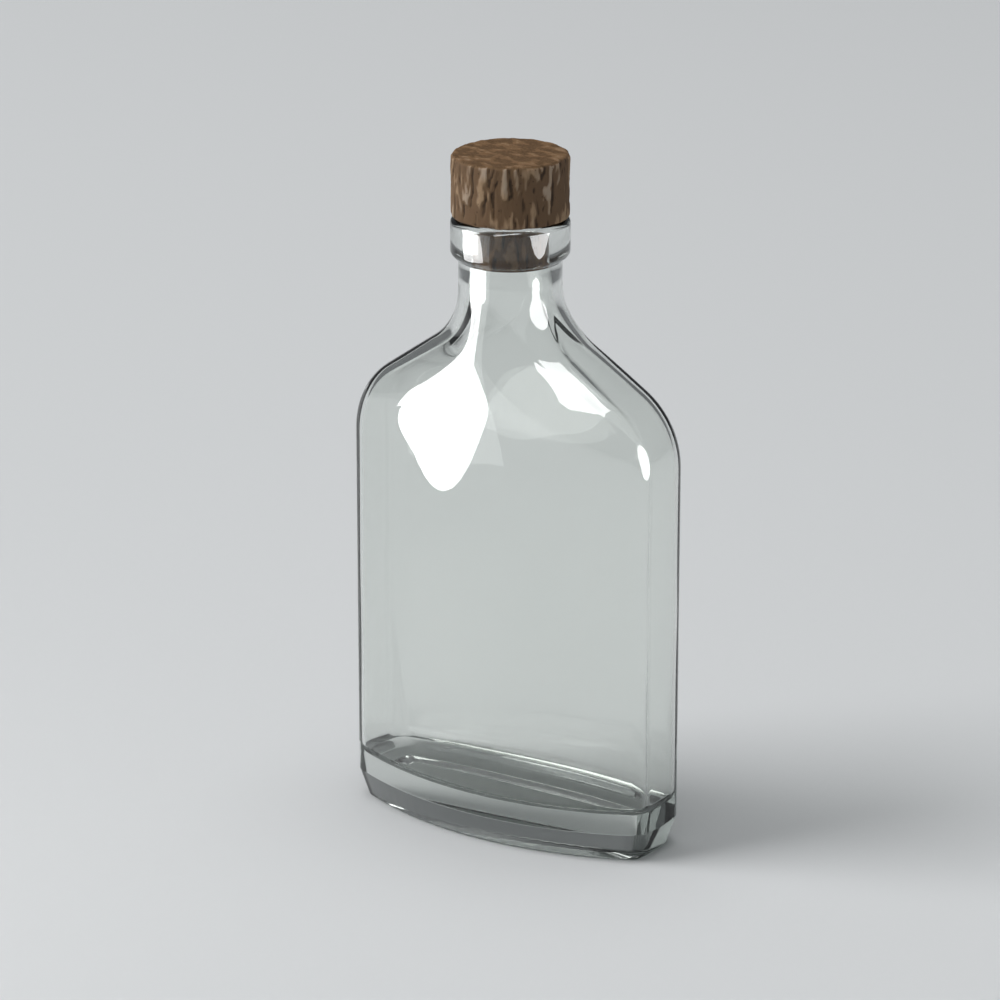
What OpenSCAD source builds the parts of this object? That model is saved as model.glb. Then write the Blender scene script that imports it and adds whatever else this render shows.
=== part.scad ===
// A flat flask of clear glass with a cork stopper pushed into its mouth.
// The flask stands on z = 0 and the neck's axis is the Z axis. Its wide faces look
// along Y, with the fuller one towards -Y, and its narrow sides look along X.

/* [Body] */
// Width of the body, from side to side
body_w = 86; // [76:1:110]
// Depth of the body, from front to back
body_d = 33.6; // [30:0.2:44]
// Height at which the straight body ends and the shoulders start
body_h = 97.8; // [70:0.2:140]
// How far the full front face bulges out between its corners
front_bulge = 8.6; // [3:0.1:10]
// How far the flatter back face bulges out between its corners
back_bulge = 3; // [1:0.1:6]
// How far each narrow side bulges out between its corners
side_bulge = 0.25; // [0.1:0.05:0.6]
// Radius of the four upright corners
corner_r = 6; // [5:0.1:9]
// Thickness of the glass wall
wall = 2.4; // [1.6:0.1:3]

/* [Base] */
// Height of the bevelled heel
heel_h = 7.6; // [4:0.2:9.6]
// How far the heel leans in at the bottom
heel_in = 2.4; // [0.8:0.1:3]
// Size of the soft edge between the heel and the foot
foot_edge = 0.8; // [0.3:0.1:1.2]
// Thickness of the glass under the inner floor
floor_t = 11.7; // [7:0.1:14]
// Radius where the inner wall meets the inner floor
floor_r = 2.6; // [1:0.1:3]
// Depth of the shallow hollow under the base
punt_h = 1.2; // [0.6:0.1:2]
// Width of the flat foot that goes round the hollow
foot_w = 4.5; // [3:0.5:6]
// Width of the slope from the foot up to the hollow's flat top
punt_slope = 5; // [3:0.5:6]

/* [Shoulders] */
// Rise of the shoulders, from the straight body to the straight neck
shoulder_h = 41.5; // [34:0.5:60]
// Radius at which the shoulders round over from the sides
shoulder_r = 21.2; // [12:0.2:24]
// Radius at which the shoulders sweep up into the neck
flare_r = 17.8; // [8:0.2:20]

/* [Neck and finish] */
// Diameter of the neck
neck_d = 25.2; // [23.6:0.1:27]
// Height of the straight neck under the finish ring
neck_h = 8; // [4:0.2:20]
// Diameter of the finish ring at the mouth
ring_d = 29; // [28:0.1:34]
// Height of the finish ring
ring_h = 9.5; // [7:0.1:14]
// Radius of the finish ring's top edge
ring_top_r = 1.4; // [0.5:0.1:1.8]
// Radius of the finish ring's bottom edge
ring_low_r = 1.8; // [0.5:0.1:2.2]
// Diameter of the bore that the stopper fits
bore_d = 18.8; // [17:0.1:19.6]
// Radius of the mouth's inner edge
lip_r = 0.8; // [0.3:0.1:1.2]

/* [Stopper] */
// Diameter of the stopper's head
head_d = 29.2; // [26:0.1:34]
// Height of the stopper's head
head_h = 16; // [8:0.2:22]
// Radius of the head's top edge
head_top_r = 1.3; // [0.5:0.1:2.5]
// Radius of the head's bottom edge
head_low_r = 0.9; // [0.3:0.1:1.5]
// Length of the shank below the head
shank_h = 11.2; // [9:0.2:15]
// Length of the shank's tapered tip
shank_tip_h = 4.4; // [2:0.2:6]
// How far the tapered tip draws in
shank_tip_in = 0.7; // [0.2:0.1:1.2]

/* [Fits] */
// Gap all round between the shank and the bore
shank_gap = 0.05; // [0.02:0.01:0.08]
// Gap between the head and the top of the mouth
seat_gap = 0.1; // [0.05:0.05:0.3]

/* [Hidden] */

// Steps along each wide face, narrow side, upright corner, shoulder arc and edge
face_steps = 12;
side_steps = 2;
corner_steps = 7;
arc_steps = 7;
slope_steps = 3;
edge_steps = 6;
round_steps = 96;

// How late in the shoulders' rise the depth follows the width, as a power of the share risen
depth_delay_share = 2.5;
// Height of the soft edge as a share of how far it runs in, and the same for the hollow's rim
foot_edge_share = 0.6;
punt_rim_share = 0.35;

// Most of the shoulders' rise that their two radii may take up together, as a share
round_limit_share = 0.97;
// Most of the corner's inner radius that the floor's radius may take up, as a share
floor_limit_share = 0.9;

neck_r = neck_d / 2;
ring_r = ring_d / 2;
bore_r = bore_d / 2;
head_r = head_d / 2;
shank_r = bore_r - shank_gap;

// The shoulders' radii, limited by the rise, and the floor's, limited by the corner
round_fit = min(1, round_limit_share * shoulder_h / (shoulder_r + flare_r));
over_r = shoulder_r * round_fit;
sweep_r = flare_r * round_fit;
floor_round = min(floor_r, floor_limit_share * (corner_r - wall));

// Heights up the flask
neck_z = body_h + shoulder_h;
ring_z = neck_z + neck_h;
mouth_z = ring_z + ring_h;
head_z = mouth_z + seat_gap;

// The body's plan: a rectangle that the bulges and the corner radius go round
core_x = body_w / 2 - side_bulge - corner_r;
core_y = (body_d - front_bulge - back_bulge) / 2 - corner_r;
// Moves the plan so that the middle of the depth lies on the neck's axis
plan_shift = (front_bulge - back_bulge) / 2;

// One shape passes this far into another where the two join
join = wall / 2;
// The cavity's throat closes this far inside the bore, over this length
throat_in = wall / 4;
throat_h = wall;

function mix(a, b, share) = a + (b - a) * share;
function ease(share) = share * share * (3 - 2 * share);

// Points [x, y, outward angle] along one bulging face of the plan. The face looks
// towards the angle turn, half is half its length and reach its distance out.
function face_points(turn, half, reach, bulge, steps) =
    let (bend = 2 * atan2(bulge, half), radius = half / sin(bend))
    [for (i = [0 : steps])
        let (
            a = bend * (2 * i / steps - 1),
            out = reach + bulge - radius * (1 - cos(a)),
            along = radius * sin(a)
        )
        [out * cos(turn) - along * sin(turn), out * sin(turn) + along * cos(turn), turn + a]];

// Points on the upright corner that follows a face, up to the next face's angle
function corner_points(face, next_angle) =
    let (end = face[len(face) - 1])
    [for (i = [1 : corner_steps - 1])
        [end.x, end.y, mix(end[2], next_angle, i / corner_steps)]];

front = face_points(-90, core_x, core_y, front_bulge, face_steps);
right = face_points(0, core_y, core_x, side_bulge, side_steps);
back = face_points(90, core_x, core_y, back_bulge, face_steps);
left = face_points(180, core_y, core_x, side_bulge, side_steps);
plan = concat(
    front, corner_points(front, right[0][2]),
    right, corner_points(right, back[0][2]),
    back, corner_points(back, left[0][2]),
    left, corner_points(left, front[0][2] + 360)
);

// One ring of the flask at height z: the plan, drawn in by inset, turns into a circle
// of radius neck as the shares of the width and of the depth go from 0 to 1
function ring(z, inset, neck = 0, width_share = 0, depth_share = 0) =
    let (r = corner_r - inset)
    [for (p = plan)
        [
            mix(p.x + r * cos(p[2]), neck * cos(p[2]), width_share),
            mix(p.y + plan_shift + r * sin(p[2]), neck * sin(p[2]), depth_share),
            z
        ]];

// A ring under the base, shrunk from the foot's outer edge by the same amount each way
function foot_ring(z, draw) =
    let (
        inset = heel_in + foot_edge,
        wide = 1 - draw / (body_w / 2 - inset),
        deep = 1 - draw / (body_d / 2 - inset)
    )
    [for (p = ring(z, inset)) [p.x * wide, p.y * deep, z]];

// Points [half width, z] up the shoulders: an arc over, a straight slope and a flare
function shoulder_path(half_w, neck, over, sweep) =
    let (
        run = (neck + sweep) - (half_w - over),
        room = norm([run, shoulder_h]),
        lean = atan2(shoulder_h, run) - acos((over + sweep) / room),
        arc = [for (i = [0 : arc_steps])
            let (a = lean * i / arc_steps)
            [half_w - over * (1 - cos(a)), body_h + over * sin(a)]],
        flare = [for (i = [arc_steps : -1 : 0])
            let (a = lean * i / arc_steps)
            [neck + sweep * (1 - cos(a)), neck_z - sweep * sin(a)]],
        slope = [for (i = [1 : slope_steps - 1])
            mix(arc[arc_steps], flare[0], i / slope_steps)]
    )
    concat(arc, slope, flare);

function shoulder_rings(inset, neck) =
    let (half_w = body_w / 2 - inset, sweep = sweep_r + neck_r - neck)
    [for (p = shoulder_path(half_w, neck, over_r - inset, sweep))
        ring(
            p.y, inset, neck,
            (half_w - p.x) / (half_w - neck),
            ease(pow((p.y - body_h) / shoulder_h, depth_delay_share))
        )];

// A closed skin over rings of equal length, stacked from the bottom to the top
module skin(rings) {
    n = len(rings[0]);
    last = len(rings) - 1;
    polyhedron(
        points = [for (r = rings) each r],
        faces = concat(
            [[for (i = [0 : n - 1]) i]],
            [for (k = [0 : last - 1], i = [0 : n - 1])
                let (a = k * n + i, b = k * n + (i + 1) % n)
                each [[a, a + n, b + n], [a, b + n, b]]],
            [[for (i = [n - 1 : -1 : 0]) last * n + i]]
        )
    );
}

// Quarter round about a centre, from one angle to another, in the plane of a profile
function quarter(centre, radius, from, to) =
    [for (i = [0 : edge_steps])
        let (a = mix(from, to, i / edge_steps))
        centre + radius * [cos(a), sin(a)]];

module turned(profile) {
    rotate_extrude($fn = round_steps) polygon(profile);
}

// The flask's outside, from the hollow under the base to inside the finish ring
module outer_form() {
    skin(concat(
        [
            foot_ring(punt_h, foot_w + punt_slope),
            foot_ring(punt_h * (1 - punt_rim_share), foot_w + punt_slope * punt_rim_share),
            foot_ring(0, foot_w),
            foot_ring(0, 0),
            ring(foot_edge * foot_edge_share, heel_in),
            ring(heel_h, 0)
        ],
        shoulder_rings(0, neck_r),
        [ring(ring_z + join, 0, neck_r, 1, 1)]
    ));
}

module finish_ring() {
    top = mouth_z - ring_top_r;
    low = ring_z + ring_low_r;
    turned(concat(
        [[0, ring_z]],
        quarter([ring_r - ring_low_r, low], ring_low_r, -90, 0),
        quarter([ring_r - ring_top_r, top], ring_top_r, 0, 90),
        [[0, mouth_z]]
    ));
}

// The space inside, from the rounded floor up to a throat that closes inside the bore
module cavity() {
    throat = bore_r - throat_in;
    skin(concat(
        [for (i = [0 : edge_steps])
            let (a = 90 * i / edge_steps)
            ring(floor_t + floor_round * (1 - cos(a)), wall + floor_round * (1 - sin(a)))],
        shoulder_rings(wall, bore_r + throat_in),
        [ring(neck_z + throat_h, wall, throat, 1, 1)]
    ));
}

// The straight bore through the neck, with the mouth's rounded inner edge
module bore() {
    low = neck_z - join;
    turned(concat(
        [[0, low], [bore_r, low]],
        quarter([bore_r + lip_r, mouth_z - lip_r], lip_r, 180, 90),
        [[bore_r + lip_r, mouth_z + join], [0, mouth_z + join]]
    ));
}

module glass_flask() {
    color([0.86, 0.9, 0.89, 0.4])
    difference() {
        union() {
            outer_form();
            finish_ring();
        }
        cavity();
        bore();
    }
}

module cork_head() {
    color([0.6, 0.47, 0.33])
    turned(concat(
        [[0, head_z]],
        quarter([head_r - head_low_r, head_z + head_low_r], head_low_r, -90, 0),
        quarter([head_r - head_top_r, head_z + head_h - head_top_r], head_top_r, 0, 90),
        [[0, head_z + head_h]]
    ));
}

module cork_shank() {
    low = head_z - shank_h;
    color([0.52, 0.39, 0.26])
    turned([
        [0, low],
        [shank_r - shank_tip_in, low],
        [shank_r, low + shank_tip_h],
        [shank_r, head_z],
        [0, head_z]
    ]);
}

glass_flask();
cork_head();
cork_shank();
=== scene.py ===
"""A clear glass flask with a cork stopper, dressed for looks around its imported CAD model.

The flask is one closed skin of glass. A Geometry Nodes tree lofts it: rings of the body's plan, stacked
along a section that goes up the outside, over the mouth and down the inside. The same tree turns the
stopper's head and shank, and a second one raises the lumps of their bark.
"""

import logging
import math
from dataclasses import dataclass, field
from enum import Enum
from functools import partial
from typing import Any

import bpy
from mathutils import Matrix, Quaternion, Vector


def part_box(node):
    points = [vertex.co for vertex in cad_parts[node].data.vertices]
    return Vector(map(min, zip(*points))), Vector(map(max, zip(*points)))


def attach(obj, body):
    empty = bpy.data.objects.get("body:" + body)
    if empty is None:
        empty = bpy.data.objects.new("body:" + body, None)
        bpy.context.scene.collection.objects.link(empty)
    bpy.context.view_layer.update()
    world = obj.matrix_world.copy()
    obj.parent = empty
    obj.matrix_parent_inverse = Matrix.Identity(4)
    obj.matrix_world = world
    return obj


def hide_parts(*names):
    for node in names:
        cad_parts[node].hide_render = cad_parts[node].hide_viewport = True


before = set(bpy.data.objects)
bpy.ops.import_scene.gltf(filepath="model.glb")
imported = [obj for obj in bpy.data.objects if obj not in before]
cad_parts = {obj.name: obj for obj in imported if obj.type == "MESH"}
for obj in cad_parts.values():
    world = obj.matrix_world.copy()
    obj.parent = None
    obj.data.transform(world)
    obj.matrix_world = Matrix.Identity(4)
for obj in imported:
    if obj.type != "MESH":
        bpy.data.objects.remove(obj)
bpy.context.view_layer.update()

MM = 0.001
LOG = logging.getLogger("flask")

Node = bpy.types.Node
NodeTree = bpy.types.NodeTree
Socket = bpy.types.NodeSocket
Object = bpy.types.Object
Material = bpy.types.Material


def linear(code: str) -> tuple[float, float, float, float]:
    """Turns a colour as #RRGGBB to the linear red, green, blue and alpha that a socket takes."""
    shares = [int(code[i:i + 2], 16) / 255 for i in (1, 3, 5)]
    red, green, blue = (s / 12.92 if s <= 0.04045 else ((s + 0.055) / 1.055) ** 2.4 for s in shares)
    return red, green, blue, 1.0


def mix(a: float, b: float, share: float) -> float:
    """The value that lies a share of the way from a to b."""
    return a + (b - a) * share


def ease(share: float) -> float:
    """A share from 0 to 1 that starts and ends gently."""
    return share * share * (3 - 2 * share)


def add_node(
    tree: NodeTree,
    kind: str,
    settings: dict[str, Any] | None = None,
    inputs: dict[str | int, Any] | None = None,
) -> Node:
    """Adds a node to a tree, sets it up and links it.

    Args:
        tree: the shader or geometry tree that gets the node.
        kind: Blender's name for the type of node.
        settings: the node's own properties, by name.
        inputs: for each input, by name or number, an output socket to link or a value.

    Returns:
        The new node.
    """
    node = tree.nodes.new(kind)
    for name, value in (settings or {}).items():
        setattr(node, name, value)
    for key, value in (inputs or {}).items():
        if isinstance(value, Socket):
            tree.links.new(value, node.inputs[key])
        else:
            node.inputs[key].default_value = value
    return node


class Maths(Enum):
    """What a sum in a tree works with."""

    NUMBER = "ShaderNodeMath"
    VECTOR = "ShaderNodeVectorMath"
    WHOLE = "FunctionNodeIntegerMath"


def work_out(tree: NodeTree, kind: Maths, operation: str, *values: Any, clamp: bool = False) -> Socket:
    """Adds a sum to a tree.

    Args:
        tree: the tree.
        kind: what the sum works with.
        operation: Blender's name for the operation.
        values: what each input takes in turn, an output socket or a value.
        clamp: whether a number is kept from 0 to 1.

    Returns:
        The result.
    """
    settings = {"operation": operation, **({"use_clamp": True} if clamp else {})}
    inputs: dict[str | int, Any] = dict(enumerate(values))
    if operation == "SCALE":
        inputs["Scale"] = inputs.pop(1)
    return add_node(tree, kind.value, settings, inputs).outputs[0]


@dataclass(frozen=True)
class Range:
    """How a value is spread: where it starts and ends, and what these become."""

    start: float
    end: float
    low: float = 0.0
    high: float = 1.0


def spread_over(tree: NodeTree, value: Socket, span: Range, gently: bool = True) -> Socket:
    """Spreads a value over a range.

    Args:
        tree: the tree.
        value: the value.
        span: the range.
        gently: whether it starts and ends gently, and not in straight lines.

    Returns:
        The spread value.
    """
    return add_node(
        tree,
        "ShaderNodeMapRange",
        {"interpolation_type": "SMOOTHSTEP" if gently else "LINEAR"},
        {
            "Value": value,
            "From Min": span.start,
            "From Max": span.end,
            "To Min": span.low,
            "To Max": span.high,
        },
    ).outputs[0]


def noise(
    tree: NodeTree, place: Socket, width: float = 1.0, seed: Socket | None = None, **further: Any
) -> Node:
    """Adds a noise to a tree.

    Args:
        tree: the tree.
        place: where the noise is read.
        width: about how wide its lumps are.
        seed: which of its patterns is taken, where there is a choice.
        further: its other inputs, by name.

    Returns:
        The noise's node.
    """
    inputs = {"Vector": place, "Scale": 1 / width, **further}
    if seed is None:
        return add_node(tree, "ShaderNodeTexNoise", inputs=inputs)
    return add_node(tree, "ShaderNodeTexNoise", {"noise_dimensions": "4D"}, {**inputs, "W": seed})


def blend_colours(tree: NodeTree, share: Socket, first: Any, second: Any) -> Socket:
    """Blends two colours by a share, and gives the colour."""
    return add_node(tree, "ShaderNodeMix", {"data_type": "RGBA"}, {0: share, 6: first, 7: second}).outputs[2]


def blend_numbers(tree: NodeTree, share: Socket, first: Any, second: Any) -> Socket:
    """Blends two numbers by a share, and gives the number."""
    return add_node(tree, "ShaderNodeMix", {"data_type": "FLOAT"}, {0: share, 2: first, 3: second}).outputs[0]


def emboss(tree: NodeTree, height: Socket, depth: float) -> Socket:
    """Bends a surface's normal by a height, and gives the normal."""
    return add_node(tree, "ShaderNodeBump", inputs={"Height": height, "Distance": depth}).outputs[0]


class Blending(Enum):
    """How a ring of the loft lies between the body's plan and a circle about the neck's axis."""

    PLAN = (0.0, 0.0)
    CIRCLE = (1.0, 1.0)


@dataclass(frozen=True)
class Level:
    """One ring of a loft.

    Fields:
        height: its height.
        inset: how far it lies inside the plan's outline.
        radius: the radius of the circle that it turns into.
        turned: the shares of its width and of its depth that have turned into the circle.
        spread: its width and depth as shares of full size, for rings that close over a flat.
        knurl: how much of the foot's knurling it carries.
        ripple: how much of the inner wall's ripple it carries.
    """

    height: float
    inset: float = 0.0
    radius: float = 0.0
    turned: tuple[float, float] = Blending.PLAN.value
    spread: tuple[float, float] = (1.0, 1.0)
    knurl: float = 0.0
    ripple: float = 0.0


# The fields of a level that its point carries as numbers, and as pairs of shares
LEVEL_NUMBERS = ("inset", "radius", "knurl", "ripple")
LEVEL_SHARES = ("turned", "spread")


@dataclass(frozen=True)
class Turn:
    """A point of a profile, given by its distance across, its height, and the radius of its corner."""

    across: float
    height: float
    corner: float = 0.0


def rounded(turns: list[Turn], steps: int = 6) -> list[tuple[float, float]]:
    """Lays a profile through points whose corners are rounded by arcs.

    Args:
        turns: the profile's points in order.
        steps: how many steps each arc takes.

    Returns:
        The profile's points as (across, height).
    """
    path = []
    for i, turn in enumerate(turns):
        here = Vector((turn.across, turn.height))
        if turn.corner == 0 or i in (0, len(turns) - 1):
            path.append(tuple(here))
            continue
        to_last = (Vector((turns[i - 1].across, turns[i - 1].height)) - here).normalized()
        to_next = (Vector((turns[i + 1].across, turns[i + 1].height)) - here).normalized()
        half = to_last.angle(to_next) / 2
        centre = here + (to_last + to_next).normalized() * (turn.corner / math.sin(half))
        start = here + to_last * (turn.corner / math.tan(half)) - centre
        end = here + to_next * (turn.corner / math.tan(half)) - centre
        sweep = math.pi - 2 * half
        for k in range(steps + 1):
            near, far = math.sin(sweep * (1 - k / steps)), math.sin(sweep * k / steps)
            path.append(tuple(centre + (start * near + end * far) / math.sin(sweep)))
    return path


def add_object(name: str, data: Any) -> Object:
    """Puts a new object at the origin, in the scene."""
    placed = bpy.data.objects.new(name, data)
    bpy.context.scene.collection.objects.link(placed)
    return placed


def guide(
    name: str,
    points: list[tuple[float, float, float]],
    closed: bool,
    numbers: dict[str, list[float]],
    vectors: dict[str, list[tuple[float, float, float]]],
) -> Object:
    """Makes a line of points that a loft reads, with what each point says as attributes.

    Args:
        name: the line's name.
        points: its points in order.
        closed: whether its last point joins its first.
        numbers: a number for each point, by the attribute's name.
        vectors: a vector for each point, by the attribute's name.

    Returns:
        The line's object. It is removed once the loft is made.
    """
    count = len(points)
    edges = [(i, (i + 1) % count) for i in range(count if closed else count - 1)]
    mesh = bpy.data.meshes.new(name)
    mesh.from_pydata(points, edges, [])
    for label, values in numbers.items():
        mesh.attributes.new(label, "FLOAT", "POINT").data.foreach_set("value", values)
    for label, values in vectors.items():
        flat = [part for value in values for part in value]
        mesh.attributes.new(label, "FLOAT_VECTOR", "POINT").data.foreach_set("vector", flat)
    return add_object(name, mesh)


def level_guide(name: str, levels: list[Level]) -> Object:
    """Makes the line that holds a loft's section, one point for each level."""
    return guide(
        name,
        [(0.0, 0.0, level.height) for level in levels],
        False,
        {label: [getattr(level, label) for level in levels] for label in LEVEL_NUMBERS},
        {label: [(*getattr(level, label), 0.0) for level in levels] for label in LEVEL_SHARES},
    )


def new_tree(name: str, lines: tuple[str, ...], numbers: tuple[str, ...]) -> tuple[NodeTree, Node, Node]:
    """Starts a Geometry Nodes tree that takes a shape, a material and what is named.

    Args:
        name: the tree's name.
        lines: the inputs that take a line's object.
        numbers: the inputs that take a number.

    Returns:
        The tree, its input node and its output node.
    """
    tree = bpy.data.node_groups.new(name, "GeometryNodeTree")
    kinds = {"Geometry": "Geometry", **dict.fromkeys(lines, "Object"), **dict.fromkeys(numbers, "Float")}
    for label, kind in {**kinds, "Material": "Material"}.items():
        tree.interface.new_socket(label, in_out="INPUT", socket_type=f"NodeSocket{kind}")
    tree.interface.new_socket("Geometry", in_out="OUTPUT", socket_type="NodeSocketGeometry")
    return tree, add_node(tree, "NodeGroupInput"), add_node(tree, "NodeGroupOutput")


def finish_tree(tree: NodeTree, given: Node, result: Node, shape: Socket) -> None:
    """Ends a tree in Realize Instances and Set Material."""
    smooth = add_node(tree, "GeometryNodeSetShadeSmooth", inputs={"Geometry": shape})
    real = add_node(tree, "GeometryNodeRealizeInstances", inputs={"Geometry": smooth.outputs[0]})
    dressed = add_node(
        tree,
        "GeometryNodeSetMaterial",
        inputs={"Geometry": real.outputs[0], "Material": given.outputs["Material"]},
    )
    tree.links.new(dressed.outputs[0], result.inputs[0])


def read_point(
    tree: NodeTree, line: Socket, index: Socket, label: str = "position", kind: str = "FLOAT_VECTOR"
) -> Socket:
    """Reads what one point of a line says.

    Args:
        tree: the tree.
        line: the line.
        index: the point's number.
        label: the name of the attribute that is read.
        kind: the attribute's type.

    Returns:
        The attribute's value at the point.
    """
    named = add_node(tree, "GeometryNodeInputNamedAttribute", {"data_type": kind}, {"Name": label})
    return add_node(
        tree,
        "GeometryNodeSampleIndex",
        {"data_type": kind},
        {"Geometry": line, "Value": named.outputs[0], "Index": index},
    ).outputs[0]


# How far round to the front the foot's knurls fade in, as the outward direction's Y
KNURLED_FRONT = Range(-0.9, -0.95)
# The middle of a noise's colour, which moves nothing
NOISE_MIDDLE = (0.5, 0.5, 0.5)


def loft_tree() -> NodeTree:
    """Builds the tree that lofts rings of a plan along a section.

    The plan is a closed line whose points say which way is outwards. Each point of the section is a
    Level. The tree also cuts the foot's knurls along the front and gives the inner wall the slight
    ripple of glass that was blown in a mould.

    Returns:
        The tree.
    """
    tree, given, result = new_tree(
        "loft",
        ("Plan", "Section"),
        ("Knurl Columns", "Knurl Depth", "Ripple Depth", "Ripple Width", "Weld", "Seed"),
    )
    number, vector, whole = (partial(work_out, tree, kind) for kind in Maths)
    ring, section = (
        add_node(tree, "GeometryNodeObjectInfo", inputs={"Object": given.outputs[label]}).outputs["Geometry"]
        for label in ("Plan", "Section")
    )
    columns, rows = (
        add_node(tree, "GeometryNodeAttributeDomainSize", inputs={"Geometry": line}).outputs["Point Count"]
        for line in (ring, section)
    )

    # A flat grid with a row for each level, whose last column closes on the first
    stride = whole("ADD", columns, 1)
    grid = add_node(
        tree, "GeometryNodeMeshGrid", inputs={"Vertices X": rows, "Vertices Y": stride}
    ).outputs["Mesh"]
    index = add_node(tree, "GeometryNodeInputIndex").outputs[0]
    row = whole("DIVIDE_FLOOR", index, stride)
    along = whole("MODULO", index, stride)
    column = whole("MODULO", along, columns)

    # The ring at each level, between the plan and the circle
    inset, radius, knurl, ripple = (
        read_point(tree, section, row, label, "FLOAT") for label in LEVEL_NUMBERS
    )
    turned, spread = (read_point(tree, section, row, label) for label in LEVEL_SHARES)
    level = read_point(tree, section, row)
    edge = read_point(tree, ring, column)
    outward = vector("NORMALIZE", read_point(tree, ring, column, "outward"))
    body = vector("SUBTRACT", edge, vector("SCALE", outward, inset))
    circle = vector("SCALE", outward, radius)
    blended = add_node(
        tree,
        "ShaderNodeMix",
        {"data_type": "VECTOR", "factor_mode": "NON_UNIFORM"},
        {1: turned, 4: body, 5: circle},
    ).outputs[1]
    raised = vector("ADD", vector("MULTIPLY", blended, spread), level)

    # The knurls lift the foot in a wave that counts the columns
    waves = number("DIVIDE", column, given.outputs["Knurl Columns"])
    wave = number("COSINE", number("MULTIPLY", waves, math.tau))
    groove = number("MULTIPLY_ADD", wave, -0.5, 0.5)
    facing = add_node(tree, "ShaderNodeSeparateXYZ", inputs={0: outward}).outputs["Y"]
    on_front = spread_over(tree, facing, KNURLED_FRONT)
    carried = number("MULTIPLY", groove, knurl)
    kept = number("MULTIPLY", carried, on_front)
    lift = number("MULTIPLY", kept, given.outputs["Knurl Depth"])
    knurled = add_node(tree, "ShaderNodeCombineXYZ", inputs={"Z": lift}).outputs[0]

    # The ripple moves the inner wall by a wide noise
    fine = number("DIVIDE", 1.0, given.outputs["Ripple Width"])
    moved = noise(tree, raised, seed=given.outputs["Seed"], Scale=fine, Detail=0.0).outputs["Color"]
    depth = number("MULTIPLY", ripple, given.outputs["Ripple Depth"])
    rippled = vector("SCALE", vector("SUBTRACT", moved, NOISE_MIDDLE), depth)
    offset = vector("ADD", knurled, rippled)

    lofted = add_node(
        tree, "GeometryNodeSetPosition", inputs={"Geometry": grid, "Position": raised, "Offset": offset}
    )
    welded = add_node(
        tree,
        "GeometryNodeMergeByDistance",
        inputs={"Geometry": lofted.outputs[0], "Distance": given.outputs["Weld"]},
    )
    outside = add_node(tree, "GeometryNodeFlipFaces", inputs={"Mesh": welded.outputs[0]})
    finish_tree(tree, given, result, outside.outputs[0])
    return tree


# How much of the side's noise is a lump, and how steeply it has to fall to be a furrow. The furrow is
# cut into the bark and also painted dark, a painted shade on each lump's one flank
RAISED_SIDE = Range(0.47, 0.6, 0.5, 1.0)
FURROWED_SIDE = Range(0.02, 0.13, 0.0, 0.55)
# The same for the flat ends, which have fewer lumps and run lower, a painted shade that makes the
# ends darker
END_LUMPS_AND_PAINTED_SHADE = Range(0.46, 0.61, 0.19, 0.7)
# How level a face has to be to count as a flat end
LEVEL_END = Range(0.35, 0.9)
# How fine and how twisted the noise of the lumps is, on the side and on the flat ends
SIDE_NOISE = {"Detail": 2.0, "Roughness": 0.45, "Distortion": 0.5}
END_NOISE = {"Detail": 2.0, "Roughness": 0.5, "Distortion": 0.3}
# How wide the slow unevenness is
SWELL_WIDTH = 5 * MM


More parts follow.
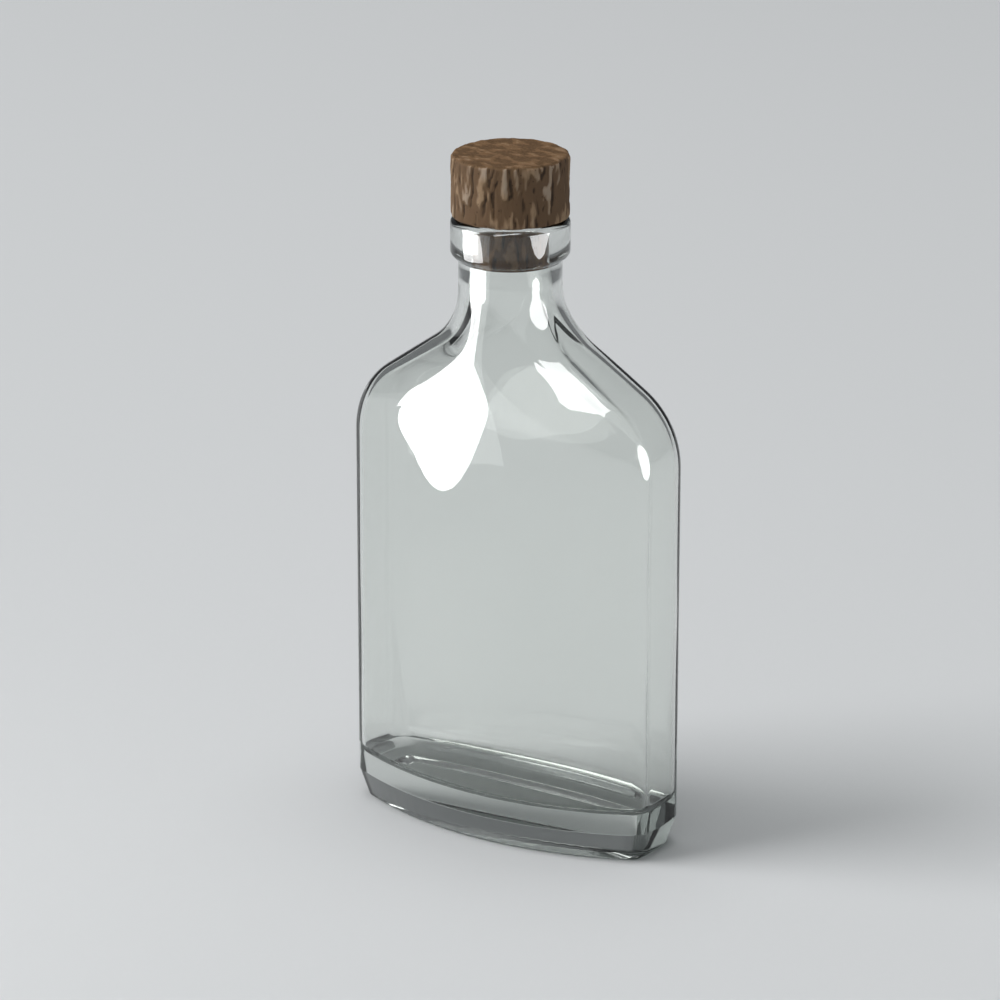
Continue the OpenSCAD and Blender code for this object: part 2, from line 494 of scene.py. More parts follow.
def bark_tree() -> NodeTree:
    """Builds the tree that raises the lumps of cork bark on a turned piece.

    The tops of the lumps stay at the piece's own size. They run up its side, each with a furrow on
    one flank, and slant across its flat ends. The piece is also a little uneven all over. The
    attribute lump stays for the finish: 0 in a furrow, 0.5 on plain cork and 1 on a lump. The
    finish paints the furrows dark, a painted shade on each lump's one flank, and the flat ends carry
    lower values, a painted shade that darkens them.

    Returns:
        The tree.
    """
    sizes = ("Furrow Depth", "Unevenness", "Lump Width", "Lump Height", "End Length")
    tree, given, result = new_tree("bark", (), (*sizes, "Flank", "End Share", "Slant", "Seed"))
    number, vector = (partial(work_out, tree, kind) for kind in (Maths.NUMBER, Maths.VECTOR))
    seed, wide = given.outputs["Seed"], given.outputs["Lump Width"]
    place = add_node(tree, "GeometryNodeInputPosition").outputs[0]
    normal = add_node(tree, "GeometryNodeInputNormal").outputs[0]
    upright, across = (
        add_node(tree, "ShaderNodeCombineXYZ", inputs={"X": x, "Y": wide, "Z": z}).outputs[0]
        for x, z in ((wide, given.outputs["Lump Height"]), (given.outputs["End Length"], wide))
    )
    further_round, slanted = (
        add_node(
            tree,
            "ShaderNodeVectorRotate",
            {"rotation_type": "Z_AXIS"},
            {"Vector": place, "Angle": given.outputs[label]},
        ).outputs[0]
        for label in ("Flank", "Slant")
    )

    # The side's pattern is read twice, here and a little further round, to find each lump's one flank.
    # The furrow on that flank is painted dark by the finish, a painted shade
    here, beside = (
        noise(tree, vector("DIVIDE", point, upright), seed=seed, **SIDE_NOISE).outputs["Fac"]
        for point in (place, further_round)
    )
    raised = spread_over(tree, here, RAISED_SIDE)
    groove = spread_over(tree, number("SUBTRACT", beside, here), FURROWED_SIDE)
    side_lump = number("SUBTRACT", raised, groove, clamp=True)
    end = noise(tree, vector("DIVIDE", slanted, across), seed=seed, **END_NOISE).outputs["Fac"]
    facing = add_node(tree, "ShaderNodeSeparateXYZ", inputs={0: normal}).outputs["Z"]
    on_end = spread_over(tree, number("ABSOLUTE", facing), LEVEL_END)
    # The flat ends take lower lump values, a painted shade that darkens them
    lump = blend_numbers(tree, on_end, side_lump, spread_over(tree, end, END_LUMPS_AND_PAINTED_SHADE))
    kept = add_node(
        tree,
        "GeometryNodeStoreNamedAttribute",
        {"data_type": "FLOAT", "domain": "POINT"},
        {"Geometry": given.outputs["Geometry"], "Name": "lump", "Value": lump},
    ).outputs[0]

    # Everything but a lump's top sinks, less on the flat ends
    calm = blend_numbers(tree, on_end, 1.0, given.outputs["End Share"])
    calmed = number("MULTIPLY", number("SUBTRACT", lump, 1.0), calm)
    cut = number("MULTIPLY", calmed, given.outputs["Furrow Depth"])
    swell = noise(tree, place, SWELL_WIDTH, seed, Detail=1.0).outputs["Fac"]
    sunk = number("MULTIPLY", swell, given.outputs["Unevenness"])
    offset = vector("SCALE", normal, number("SUBTRACT", cut, sunk))
    carved = add_node(tree, "GeometryNodeSetPosition", inputs={"Geometry": kept, "Offset": offset})
    finish_tree(tree, given, result, carved.outputs[0])
    return tree


def add_shape(piece: Object, tree: NodeTree, source: Any, **values: Any) -> None:
    """Gives a piece a Geometry Nodes modifier.

    Args:
        piece: the piece.
        tree: the modifier's tree.
        source: what has a field for each number that the tree takes, so Seed takes source.seed.
        values: the tree's other inputs, by name.
    """
    modifier = piece.modifiers.new(tree.name, "NODES")
    modifier.node_group = tree
    for item in tree.interface.items_tree:
        if item.item_type != "SOCKET" or item.in_out == "OUTPUT":
            continue
        if item.socket_type == "NodeSocketFloat":
            modifier[item.identifier] = getattr(source, item.name.lower().replace(" ", "_"))
        elif item.name in values:
            modifier[item.identifier] = values[item.name]


def settle(piece: Object, *lines: Object) -> None:
    """Turns what a piece's modifiers make into its own plain mesh, and removes them.

    Args:
        piece: the piece, at the origin.
        lines: the lines that its loft read, which are removed too.
    """
    graph = bpy.context.evaluated_depsgraph_get()
    made = bpy.data.meshes.new_from_object(
        piece.evaluated_get(graph), preserve_all_data_layers=True, depsgraph=graph
    )
    made.name = piece.name
    piece.modifiers.clear()
    piece.data = made
    for line in lines:
        bpy.data.objects.remove(line)
    LOG.info("%s: %d vertices, %d faces", piece.name, len(made.vertices), len(made.polygons))


def new_material(name: str) -> tuple[Material, NodeTree, Node]:
    """Starts a material named for the real one, and gives it, its empty tree and its output node."""
    material = bpy.data.materials.new(name)
    material.use_nodes = True
    material.node_tree.nodes.clear()
    return material, material.node_tree, add_node(material.node_tree, "ShaderNodeOutputMaterial")


@dataclass(frozen=True)
class ClearGlass:
    """Colourless bottle glass, blown in a mould and fire-polished.

    It gives the eye a hard, wet shine and a faint wave where the mould chilled it, and only its thick
    base is seen to be a little grey, with a trace of green.
    """

    tint: str = "#F8FAF8"
    depth_tint: str = "#C3C9C6"
    absorption: float = 22.0
    ior: float = 1.52
    wave_width: float = 22 * MM
    wave_height: float = 0.05 * MM
    film_width: float = 30 * MM
    film_roughness: Range = Range(0.45, 0.7, 0.0, 0.03)
    shade_middle: str = "#F4F6F5"
    shade_edge: str = "#6E7371"
    shade_blend: float = 0.5

    def material(self) -> Material:
        """Builds the glass's material.

        Returns:
            The material.
        """
        material, tree, output = new_material("clear bottle glass")
        place = add_node(tree, "ShaderNodeTexCoord").outputs["Object"]
        # The wave is as wide as the real one, a few across the flask
        wave = noise(tree, place, self.wave_width, Detail=1.0).outputs["Fac"]
        # A film of handling, far fainter than dust, lies in patches
        film = noise(tree, place, self.film_width, Detail=3.0).outputs["Fac"]
        glass = add_node(
            tree,
            "ShaderNodeBsdfPrincipled",
            inputs={
                "Base Color": linear(self.tint),
                "Roughness": spread_over(tree, film, self.film_roughness, gently=False),
                "IOR": self.ior,
                "Transmission Weight": 1.0,
                "Normal": emboss(tree, wave, self.wave_height),
            },
        )
        # Lamps shine through it, less where it is met edge on, so its shadow is light with dark rims
        facing = add_node(tree, "ShaderNodeLayerWeight", inputs={"Blend": self.shade_blend}).outputs["Facing"]
        shade = blend_colours(tree, facing, linear(self.shade_middle), linear(self.shade_edge))
        clear = add_node(tree, "ShaderNodeBsdfTransparent", inputs={"Color": shade})
        path = add_node(tree, "ShaderNodeLightPath")
        lit = work_out(
            tree, Maths.NUMBER, "MAXIMUM", path.outputs["Is Shadow Ray"], path.outputs["Is Diffuse Ray"]
        )
        surface = add_node(
            tree, "ShaderNodeMixShader", inputs={0: lit, 1: glass.outputs[0], 2: clear.outputs[0]}
        )
        depth = add_node(
            tree,
            "ShaderNodeVolumeAbsorption",
            inputs={"Color": linear(self.depth_tint), "Density": self.absorption},
        )
        tree.links.new(surface.outputs[0], output.inputs["Surface"])
        tree.links.new(depth.outputs[0], output.inputs["Volume"])
        return material


@dataclass(frozen=True)
class NaturalCork:
    """Natural cork with its bark side left rough.

    It gives the eye a dry brown, darker in the furrows, paler on the lumps and greyer where they are
    worn, with fine grain and small dark pores. The dark of the furrows, on each lump's one flank, is
    partly painted shade, and the flat ends are painted darker, a painted shade.
    """

    name: str
    # The furrow colour is partly painted shade: the finish lays it on each lump's one flank
    furrow_shade: str = "#342413"
    base: str = "#6A5138"
    lump: str = "#A38768"
    worn: str = "#AB9A88"
    pore: str = "#2A1D12"
    furrow_shade_at: float = 0.18
    base_at: tuple[float, float] = (0.42, 0.58)
    lump_at: float = 0.84
    specular: float = 0.15
    roughness: Range = Range(0.0, 1.0, 1.0, 0.85)
    grain_share: float = 0.6
    grain_width: float = 0.6 * MM
    grain_height: float = 3.2 * MM
    patch_width: float = 9 * MM
    patch_wear: Range = Range(0.5, 0.66, 0.0, 0.75)
    lump_wear: Range = Range(0.65, 1.0)
    pore_width: float = 1.7 * MM
    pore_depth: Range = Range(0.06, 0.16, 0.5, 0.0)
    relief: float = 0.12 * MM

    def material(self) -> Material:
        """Builds the cork's material.

        Returns:
            The material.
        """
        material, tree, output = new_material(self.name)
        place = add_node(tree, "ShaderNodeTexCoord").outputs["Object"]
        lump = add_node(tree, "ShaderNodeAttribute", {"attribute_name": "lump"}).outputs["Fac"]
        # The grain is about as coarse as the photograph's, twice that of most real cork
        stretch = (1 / self.grain_width, 1 / self.grain_width, 1 / self.grain_height)
        grain = add_node(tree, "ShaderNodeMapping", inputs={"Vector": place, "Scale": stretch}).outputs[0]
        fine = noise(tree, grain, Detail=4.0, Roughness=0.6).outputs["Fac"]
        height = work_out(tree, Maths.NUMBER, "MULTIPLY_ADD", fine, self.grain_share, lump)
        level = work_out(tree, Maths.NUMBER, "DIVIDE", height, 1 + self.grain_share)
        # The ramp's dark furrow end is partly painted shade, on each lump's one flank and over the flat ends
        ramp = add_node(tree, "ShaderNodeValToRGB", inputs={0: level})
        stops = ramp.color_ramp.elements
        stops[0].position = self.furrow_shade_at
        stops[0].color = linear(self.furrow_shade)
        stops[1].position = self.lump_at
        stops[1].color = linear(self.lump)
        for position in self.base_at:
            stops.new(position).color = linear(self.base)
        # Some lumps are worn greyer than others
        patches = noise(tree, place, self.patch_width, Detail=1.0).outputs["Fac"]
        patchy = spread_over(tree, patches, self.patch_wear, gently=False)
        on_lump = spread_over(tree, lump, self.lump_wear, gently=False)
        wear = work_out(tree, Maths.NUMBER, "MULTIPLY", patchy, on_lump)
        worn = blend_colours(tree, wear, ramp.outputs[0], linear(self.worn))
        cells = add_node(tree, "ShaderNodeTexVoronoi", inputs={"Vector": place, "Scale": 1 / self.pore_width})
        pit = spread_over(tree, cells.outputs["Distance"], self.pore_depth)
        cork = add_node(
            tree,
            "ShaderNodeBsdfPrincipled",
            inputs={
                "Base Color": blend_colours(tree, pit, worn, linear(self.pore)),
                "Roughness": spread_over(tree, level, self.roughness, gently=False),
                "Specular IOR Level": self.specular,
                "Normal": emboss(tree, work_out(tree, Maths.NUMBER, "SUBTRACT", fine, pit), self.relief),
            },
        )
        tree.links.new(cork.outputs[0], output.inputs["Surface"])
        return material


@dataclass(frozen=True)
class MattPaper:
    """Matt studio paper, pale and even, with a tooth too fine to see."""

    colour: str = "#CDCFD0"
    roughness: float = 0.9
    specular: float = 0.2
    tooth_width: float = 0.6 * MM
    tooth_height: float = 0.02 * MM

    def material(self) -> Material:
        """Builds the paper's material."""
        material, tree, output = new_material("matt studio paper")
        place = add_node(tree, "ShaderNodeTexCoord").outputs["Object"]
        tooth = noise(tree, place, self.tooth_width).outputs["Fac"]
        paper = add_node(
            tree,
            "ShaderNodeBsdfPrincipled",
            inputs={
                "Base Color": linear(self.colour),
                "Roughness": self.roughness,
                "Specular IOR Level": self.specular,
                "Normal": emboss(tree, tooth, self.tooth_height),
            },
        )
        tree.links.new(paper.outputs[0], output.inputs["Surface"])
        return material


@dataclass(frozen=True)
class BodyPlan:
    """The body's outline from above: two bulging wide faces, two narrow sides and four round corners."""

    width: float
    depth: float
    front_bulge: float = 8.6 * MM
    back_bulge: float = 3.0 * MM
    side_bulge: float = 0.25 * MM
    corner_r: float = 6.0 * MM
    face_steps: int = 120
    side_steps: int = 16
    corner_steps: int = 40

    def face(
        self, turn: float, half: float, reach: float, bulge: float, steps: int
    ) -> list[tuple[Vector, float]]:
        """Lays the points of one bulging face, before the corners' radius is added.

        Args:
            turn: the angle that the face looks towards.
            half: half the face's length.
            reach: how far out its ends lie.
            bulge: how much further out its middle lies.
            steps: how many steps it takes.

        Returns:
            Each point with its outward angle.
        """
        bend = 2 * math.atan2(bulge, half)
        radius = half / math.sin(bend)
        out_way = Vector((math.cos(turn), math.sin(turn), 0))
        along_way = Vector((-math.sin(turn), math.cos(turn), 0))
        points = []
        for i in range(steps + 1):
            angle = bend * (2 * i / steps - 1)
            out = reach + bulge - radius * (1 - math.cos(angle))
            points.append((out_way * out + along_way * (radius * math.sin(angle)), turn + angle))
        return points

    def points(self) -> list[tuple[Vector, Vector]]:
        """Lays the whole outline.

        Returns:
            Each point with its outward direction.
        """
        core_x = self.width / 2 - self.side_bulge - self.corner_r
        core_y = (self.depth - self.front_bulge - self.back_bulge) / 2 - self.corner_r
        quarter = math.pi / 2
        faces = [
            self.face(-quarter, core_x, core_y, self.front_bulge, self.face_steps),
            self.face(0, core_y, core_x, self.side_bulge, self.side_steps),
            self.face(quarter, core_x, core_y, self.back_bulge, self.face_steps),
            self.face(2 * quarter, core_y, core_x, self.side_bulge, self.side_steps),
        ]
        centred = Vector((0, (self.front_bulge - self.back_bulge) / 2, 0))
        outline = []
        for i, face in enumerate(faces):
            end, last_angle = face[-1]
            next_angle = faces[(i + 1) % 4][0][1] + (math.tau if i == 3 else 0)
            corner = [
                (end, mix(last_angle, next_angle, k / self.corner_steps)) for k in range(1, self.corner_steps)
            ]
            for core, angle in face + corner:
                outward = Vector((math.cos(angle), math.sin(angle), 0))
                outline.append((core + centred + outward * self.corner_r, outward))
        return outline

    def guide(self) -> Object:
        """Makes the line that a loft reads the outline from."""
        points = self.points()
        outward = {"outward": [tuple(way) for _, way in points]}
        return guide("body_plan", [tuple(point) for point, _ in points], True, {}, outward)


@dataclass
class GlassFlask:
    """The flask: foot, bevelled heel, body, shoulders, neck and finish ring, in one skin of glass."""

    finish: ClearGlass
    wall: float = 2.4 * MM
    body_h: float = 97.8 * MM
    heel_h: float = 7.6 * MM
    heel_in: float = 2.4 * MM
    heel_round: float = 0.7 * MM
    foot_in: float = 2.56 * MM
    foot_edge: float = 0.8 * MM
    foot_round: float = 0.9 * MM
    foot_w: float = 4.5 * MM
    punt_h: float = 1.2 * MM
    punt_slope: float = 5 * MM
    punt_round: float = 3 * MM
    floor_t: float = 11.7 * MM
    floor_round: float = 2.6 * MM
    shoulder_h: float = 41.5 * MM
    shoulder_r: float = 21.2 * MM
    flare_r: float = 17.8 * MM
    depth_delay: float = 2.5
    neck_r: float = 12.6 * MM
    neck_h: float = 8 * MM
    ring_r: float = 14.5 * MM
    ring_under: float = 0.4 * MM
    ring_top_round: float = 1.4 * MM
    ring_low_round: float = 1.8 * MM
    ring_neck_round: float = 0.8 * MM
    bore_r: float = 9.4 * MM
    throat_out: float = 0.6 * MM
    throat_h: float = 6.0 * MM
    throat_round: float = 18 * MM
    lip_round: float = 0.8 * MM
    knurl_depth: float = 0.2 * MM
    knurl_w: float = 1.2 * MM
    knurl_columns: float = 5.0
    knurl_shares: tuple[float, ...] = (1.0, 0.75, 0.5, 0.25, 0.0)
    knurl_full_h: float = 0.3 * MM
    knurl_fade_h: float = 1.2 * MM
    ripple_depth: float = 0.5 * MM
    ripple_width: float = 24 * MM
    floor_ripple: float = 0.5
    floor_shares: tuple[float, ...] = (0.93, 0.85, 0.7, 0.55, 0.4, 0.25, 0.12, 0.0)
    weld: float = 0.001 * MM
    arc_steps: int = 16
    slope_steps: int = 6
    wall_steps: int = 16
    finish_steps: int = 9
    seed: float = 4.0

    def __post_init__(self) -> None:
        """Takes the overall sizes from the CAD node."""
        low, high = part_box("glass_flask")
        self.plan = BodyPlan(width=high.x - low.x, depth=high.y - low.y)
        self.mouth_z = high.z
        self.neck_z = self.body_h + self.shoulder_h

    def shrink(self, across: float) -> Level:
        """The level that lies across from the body's outline, at no height yet.

        Args:
            across: how far in from the outline. Past the foot's edge the ring shrinks alike on both
                sides of the middle.

        Returns:
            The level.
        """
        edge = self.heel_in + self.foot_edge
        further = max(0.0, across - edge)
        spread = (
            1 - further / (self.plan.width / 2 - edge),
            1 - further / (self.plan.depth / 2 - edge),
        )
        return Level(height=0.0, inset=min(across, edge), spread=spread)

    def foot_levels(self) -> list[Level]:
        """The levels from the middle of the hollow under the base, over the foot, to the straight body."""
        edge = self.heel_in + self.foot_edge
        rim = edge + self.foot_w
        path = rounded(
            [
                Turn(rim + self.punt_slope + self.punt_round, self.punt_h),
                Turn(rim + self.punt_slope, self.punt_h, self.punt_round),
                Turn(rim, 0.0, self.punt_round),
                *(Turn(edge + self.knurl_w * share, 0.0) for share in self.knurl_shares),
                Turn(self.foot_in, 0.0, self.foot_round),
                Turn(0.0, self.heel_h, self.heel_round),
                Turn(0.0, self.heel_h + 2 * self.heel_round),
            ]
        )
        flat = self.shrink(path[0][0])
        levels = [
            Level(self.punt_h, flat.inset, spread=(flat.spread[0] * share, flat.spread[1] * share))
            for share in (0.0, 0.5)
        ]
        for across, height in path:
            ring = self.shrink(across)
            knurl = ease(max(0.0, min(1.0, 1 - (across - edge) / self.knurl_w)))
            knurl *= ease(max(0.0, min(1.0, 1 - (height - self.knurl_full_h) / self.knurl_fade_h)))
            levels.append(Level(height, ring.inset, spread=ring.spread, knurl=knurl))
        return levels

    def shoulder_levels(self, inset: float, neck: float, ripple: float = 0.0) -> list[Level]:
        """The levels up the shoulders: over from the sides, up a slope and into the neck.

        Args:
            inset: 0 for the outside, and the wall for the inside.
            neck: the radius at the top.
            ripple: how much ripple the lowest level carries. It fades towards the neck.

        Returns:
            The levels, from the body up.
        """
        half = self.plan.width / 2 - inset
        over = self.shoulder_r - inset
        sweep = self.flare_r + self.neck_r - neck
        run = neck + sweep - (half - over)
        lean = math.atan2(self.shoulder_h, run) - math.acos((over + sweep) / math.hypot(run, self.shoulder_h))
        angles = [lean * i / self.arc_steps for i in range(self.arc_steps + 1)]
        arc = [(half - over * (1 - math.cos(a)), self.body_h + over * math.sin(a)) for a in angles]
        flare = [
            (neck + sweep * (1 - math.cos(a)), self.neck_z - sweep * math.sin(a)) for a in reversed(angles)
        ]
        slope = [
            tuple(mix(a, b, i / self.slope_steps) for a, b in zip(arc[-1], flare[0]))
            for i in range(1, self.slope_steps)
        ]
        levels = []
        for across, height in arc + slope + flare:
            risen = (height - self.body_h) / self.shoulder_h
            turned = ((half - across) / (half - neck), ease(risen ** self.depth_delay))
            levels.append(Level(height, inset, neck, turned, ripple=ripple * (1 - ease(risen))))
        return levels

    def finish_levels(self) -> list[Level]:
        """The levels from the neck, round the finish ring and over the lip, down to the throat."""
        ring_z = self.neck_z + self.neck_h
        throat_z = self.neck_z + self.throat_h
        path = rounded(
            [
                Turn(self.neck_r, mix(self.neck_z, ring_z, 0.5)),
                Turn(self.neck_r, ring_z - self.ring_under, self.ring_neck_round),
                Turn(self.ring_r, ring_z + self.ring_under / 2, self.ring_low_round),
                Turn(self.ring_r, self.mouth_z, self.ring_top_round),
                Turn(self.bore_r, self.mouth_z, self.lip_round),
                Turn(self.bore_r, mix(throat_z, self.mouth_z, 0.5)),
                Turn(self.bore_r, throat_z, self.throat_round),
                Turn(self.bore_r + self.throat_out, mix(self.neck_z, throat_z, 0.25), self.throat_round),
                Turn(self.bore_r + self.throat_out, self.neck_z),
            ],
            self.finish_steps,
        )
        return [Level(height, 0.0, radius, Blending.CIRCLE.value) for radius, height in path[:-1]]

    def cavity_levels(self) -> list[Level]:
        """The levels down the inside, from under the throat to the middle of the inner floor."""
        down = list(reversed(self.shoulder_levels(self.wall, self.bore_r + self.throat_out, 1.0)))
        corner = self.floor_t + self.floor_round
        straight = [
            Level(mix(self.body_h, corner, i / self.wall_steps), self.wall, ripple=1.0)
            for i in range(1, self.wall_steps + 1)
        ]
        turn = [math.pi / 2 * i / self.arc_steps for i in range(1, self.arc_steps + 1)]
        floor = [
            Level(
                self.floor_t + self.floor_round * (1 - math.sin(a)),
                self.wall + self.floor_round * (1 - math.cos(a)),
                ripple=mix(1.0, self.floor_ripple, math.sin(a)),
            )
            for a in turn
        ]
        last = floor[-1]
        middle = [
            Level(last.height, last.inset, spread=(share, share), ripple=self.floor_ripple)
            for share in self.floor_shares
        ]
        return down + straight + floor + middle

    def build(self, tree: NodeTree) -> None:
        """Lofts the flask by the loft's tree, dresses it and stands it in for its CAD node."""
        levels = (
            self.foot_levels()
            + self.shoulder_levels(0.0, self.neck_r)
            + self.finish_levels()
            + self.cavity_levels()
        )
        plan, section = self.plan.guide(), level_guide("flask_section", levels)
        piece = add_object("flask_glass", bpy.data.meshes.new("flask_glass"))
        add_shape(piece, tree, self, Plan=plan, Section=section, Material=self.finish.material())
        settle(piece, plan, section)
        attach(piece, "flask")
        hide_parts("glass_flask")


class CorkPart(Enum):
    """The stopper's two pieces, each named as its CAD node."""

    HEAD = "cork_head"
    SHANK = "cork_shank"


@dataclass
class CorkPiece:
    """A turned piece of cork, with its bark's lumps and no knurls or ripple."""

    part: CorkPart
    finish: NaturalCork
    top_round: float = 0.0
    low_round: float = 0.0
    tip_h: float = 0.0
    tip_in: float = 0.0
    furrow_depth: float = 0.4 * MM
    unevenness: float = 0.5 * MM
    lump_width: float = 2.5 * MM
    lump_height: float = 8.0 * MM
    flank: float = math.radians(-2.8)
    end_share: float = 0.5
    end_length: float = 4.2 * MM
    slant: float = math.radians(16)
    columns: int = 240
    row_step: float = 0.4 * MM
    knurl_columns: float = 1.0
    knurl_depth: float = 0.0
    ripple_depth: float = 0.0
    ripple_width: float = 1.0
    weld: float = 0.001 * MM
    seed: float = 11.0

    def __post_init__(self) -> None:
        """Takes the overall sizes from the CAD node."""
        low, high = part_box(self.part.value)
        self.low_z, self.high_z = low.z, high.z
        self.radius = (high.x - low.x) / 2

    def levels(self) -> list[Level]:
        """The piece's rings, from the middle of its bottom to the middle of its top."""
        tip = self.radius - self.tip_in
        turns = [Turn(0.0, self.low_z), Turn(tip, self.low_z, self.low_round)]
        if self.tip_h:
            turns.append(Turn(self.radius, self.low_z + self.tip_h, self.tip_h / 2))
        turns += [Turn(self.radius, self.high_z, self.top_round), Turn(0.0, self.high_z)]
        path = rounded(turns)
        levels = []
        for start, end in zip(path, path[1:]):
            steps = max(1, round((Vector(end) - Vector(start)).length / self.row_step))
            for i in range(steps):
                radius, height = (mix(a, b, i / steps) for a, b in zip(start, end))
                levels.append(Level(height, 0.0, radius, Blending.CIRCLE.value))
        levels.append(Level(path[-1][1], 0.0, path[-1][0], Blending.CIRCLE.value))
        return levels

    def plan(self) -> Object:
        """Makes the circle that the loft turns the piece round."""
        angles = [math.tau * i / self.columns for i in range(self.columns)]
        ways = [(math.cos(a), math.sin(a), 0.0) for a in angles]
        points = [tuple(self.radius * part for part in way) for way in ways]
        return guide(f"{self.part.value}_plan", points, True, {}, {"outward": ways})

    def build(self, loft: NodeTree, bark: NodeTree) -> None:
        """Turns the piece, raises its bark, dresses it and stands it in for its CAD node."""
        plan = self.plan()
        section = level_guide(f"{self.part.value}_section", self.levels())
        name = f"stopper_{self.part.value}"
        piece = add_object(name, bpy.data.meshes.new(name))
        material = self.finish.material()
        add_shape(piece, loft, self, Plan=plan, Section=section, Material=material)
        add_shape(piece, bark, self, Material=material)
        settle(piece, plan, section)
        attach(piece, "stopper")
        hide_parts(self.part.value)


class Beam(Enum):
    """Where a lamp shows: on matt surfaces, mirrored in the outside of the glass, and through the glass."""

    MATT = (True, False, False)
    SHEEN = (False, True, False)
    DEPTH = (False, False, True)
    ALL = (True, True, True)


class Face(Enum):
    """The shape of a lamp's face."""

    RECTANGLE = ("RECTANGLE", 1.0)
    ELLIPSE = ("ELLIPSE", math.pi / 4)


@dataclass(frozen=True)
class Lamp:
    """A soft box, placed by the direction that it is seen in from a point on the flask's axis.

    Fields:
        name: its name.
        azimuth: its direction round the flask in degrees, 0 in front and 90 on the right.
        elevation: its direction up in degrees.
        distance: how far off it stands.
        width: its width.
        height: its height.
        radiance: how bright its face is, where white paper under plain light is 1.
        beam: where it shows.
        face: its shape.
        aim: the height of the point that it faces.
        roll: how far its top leans to the right in degrees, as seen from behind it.
    """

    name: str
    azimuth: float
    elevation: float
    distance: float
    width: float
    height: float
    radiance: float
    beam: Beam
    face: Face = Face.RECTANGLE
    aim: float = 85 * MM
    roll: float = 0.0

    def place(self) -> None:
        """Stands the lamp and turns it towards the flask."""
        data = bpy.data.lights.new(self.name, "AREA")
        data.shape, filled = self.face.value
        data.size = self.width
        data.size_y = self.height
        data.energy = math.pi * self.width * self.height * filled * self.radiance
        lamp = add_object(self.name, data)
        way = direction(self.azimuth, self.elevation)
        lamp.location = Vector((0, 0, self.aim)) + way * self.distance
        facing = way.to_track_quat("Z", "Y")
        leaning = Quaternion((0, 0, 1), -math.radians(self.roll))
        lamp.rotation_euler = (facing @ leaning).to_euler()
        lamp.visible_camera = False
        lamp.visible_diffuse, lamp.visible_glossy, lamp.visible_transmission = self.beam.value


def direction(azimuth: float, elevation: float) -> Vector:
    """The way towards an azimuth and an elevation in degrees, where azimuth 0 is in front, at -Y."""
    round_angle, up_angle = math.radians(azimuth), math.radians(elevation)
    return Vector((
        math.sin(round_angle) * math.cos(up_angle),
        -math.cos(round_angle) * math.cos(up_angle),
        math.sin(up_angle),
    ))


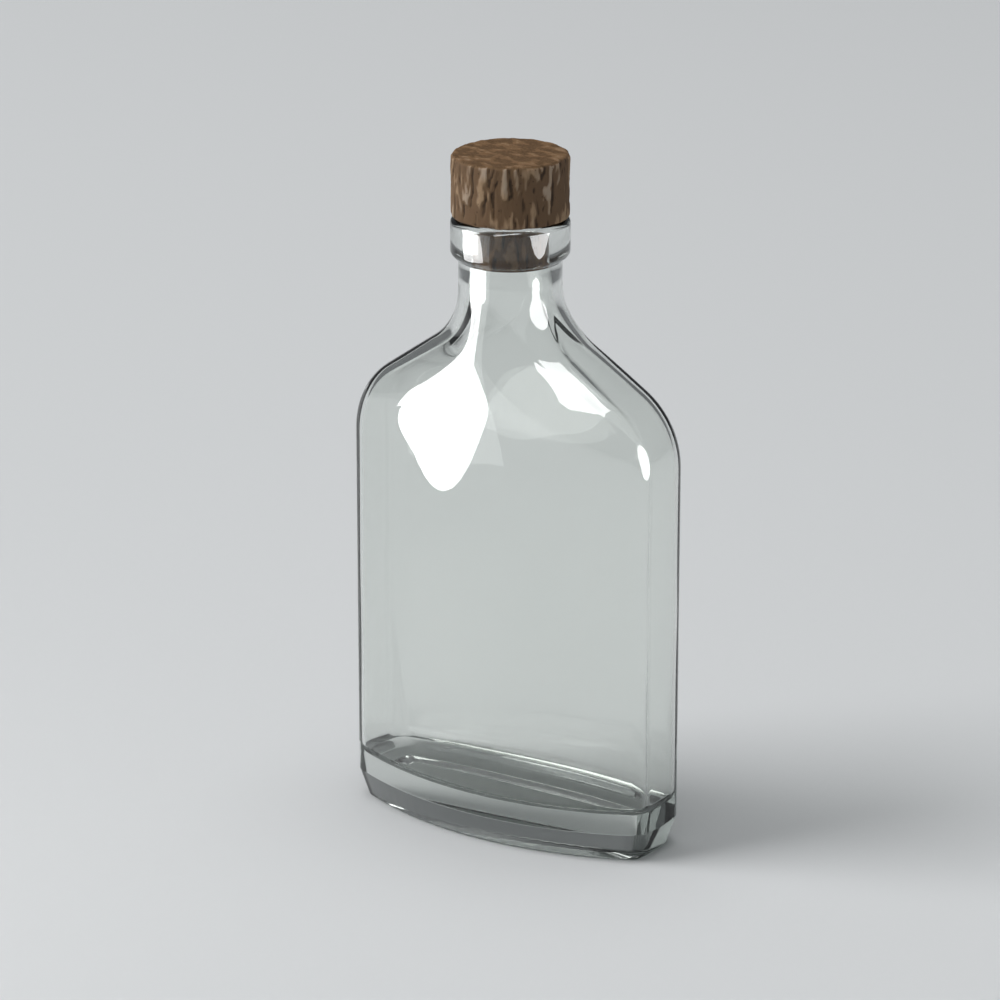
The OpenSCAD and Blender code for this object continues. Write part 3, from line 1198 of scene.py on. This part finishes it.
@dataclass
class Studio:
    """The pale floor, the soft boxes, the room's light and the camera."""

    paper: MattPaper = field(default_factory=MattPaper)
    floor_r: float = 6.0
    floor_sides: int = 96
    room: str = "#6C6E70"
    room_strength: float = 1.0
    camera_azimuth: float = 32.84
    camera_elevation: float = 18.98
    camera_distance: float = 1.1891
    lens: float = 175.0
    sensor: float = 36.0
    look_left: float = 2.493 * MM
    look_height: float = 84.843 * MM
    lamps: tuple[Lamp, ...] = (
        Lamp("left_panel", -49.5, 0, 0.25, 0.17, 0.235, 12.0, Beam.SHEEN, aim=192 * MM),
        Lamp("left_low_panel", -43.6, 0, 0.25, 0.21, 0.11, 12.0, Beam.SHEEN, Face.ELLIPSE, 66 * MM),
        Lamp("left_depth", -42, 0, 0.25, 0.19, 0.30, 2.2, Beam.DEPTH, aim=162 * MM),
        Lamp("right_panel", 90, 0, 0.46, 0.40, 0.30, 12.0, Beam.SHEEN, Face.ELLIPSE, 150 * MM),
        Lamp("high_strip", 18.5, 52.3, 1.48, 0.40, 1.69, 11.0, Beam.SHEEN, roll=29.1),
        Lamp("overhead_box", 0, 89.9, 3.4, 2.4, 2.4, 2.6, Beam.ALL),
        Lamp("key_box", -50, 47, 4.4, 2.37, 2.37, 8.2, Beam.MATT),
    )

    def lay_floor(self) -> None:
        """Lays the floor under the flask."""
        angles = [math.tau * i / self.floor_sides for i in range(self.floor_sides)]
        rim = [(self.floor_r * math.cos(a), self.floor_r * math.sin(a), 0.0) for a in angles]
        mesh = bpy.data.meshes.new("floor")
        mesh.from_pydata(rim, [], [tuple(range(self.floor_sides))])
        mesh.materials.append(self.paper.material())
        floor = add_object("floor", mesh)

    def light(self) -> None:
        """Stands the lamps, and lights the room round them."""
        for lamp in self.lamps:
            lamp.place()
        world = bpy.data.worlds.new("room")
        world.use_nodes = True
        bpy.context.scene.world = world
        background = world.node_tree.nodes["Background"]
        background.inputs["Color"].default_value = linear(self.room)
        background.inputs["Strength"].default_value = self.room_strength

    def aim_camera(self) -> None:
        """Sets the camera up at the photograph's angle."""
        data = bpy.data.cameras.new("camera")
        data.lens = self.lens
        data.sensor_width = self.sensor
        camera = add_object("camera", data)
        back = direction(self.camera_azimuth, self.camera_elevation)
        turn = math.radians(self.camera_azimuth)
        right = Vector((math.cos(turn), math.sin(turn), 0))
        target = Vector((0, 0, self.look_height)) - right * self.look_left
        camera.location = target + back * self.camera_distance
        camera.rotation_euler = back.to_track_quat("Z", "Y").to_euler()
        bpy.context.scene.camera = camera


def main() -> None:
    """Builds the flask, its stopper and the studio."""
    logging.basicConfig(level=logging.INFO, format="%(name)s: %(message)s")
    bpy.context.scene.view_settings.view_transform = "Standard"
    loft, bark = loft_tree(), bark_tree()
    flask = GlassFlask(finish=ClearGlass())
    head = CorkPiece(
        CorkPart.HEAD,
        NaturalCork("rough cork bark"),
        top_round=1.3 * MM,
        low_round=0.9 * MM,
    )
    shank = CorkPiece(
        CorkPart.SHANK,
        # The shank's furrow colour is partly painted shade too
        NaturalCork("cut cork", furrow_shade="#31200B", base="#5A3C1C", lump="#85603C", worn="#8A6A4A"),
        tip_h=4.4 * MM,
        tip_in=0.7 * MM,
        furrow_depth=0.12 * MM,
        unevenness=0.05 * MM,
        end_share=1.0,
        seed=23.0,
    )
    flask.build(loft)
    head.build(loft, bark)
    shank.build(loft, bark)
    studio = Studio()
    studio.lay_floor()
    studio.light()
    studio.aim_camera()
    LOG.info("%d lamps, camera at %.2f degrees", len(studio.lamps), studio.camera_azimuth)


if __name__ == "__main__":
    main()
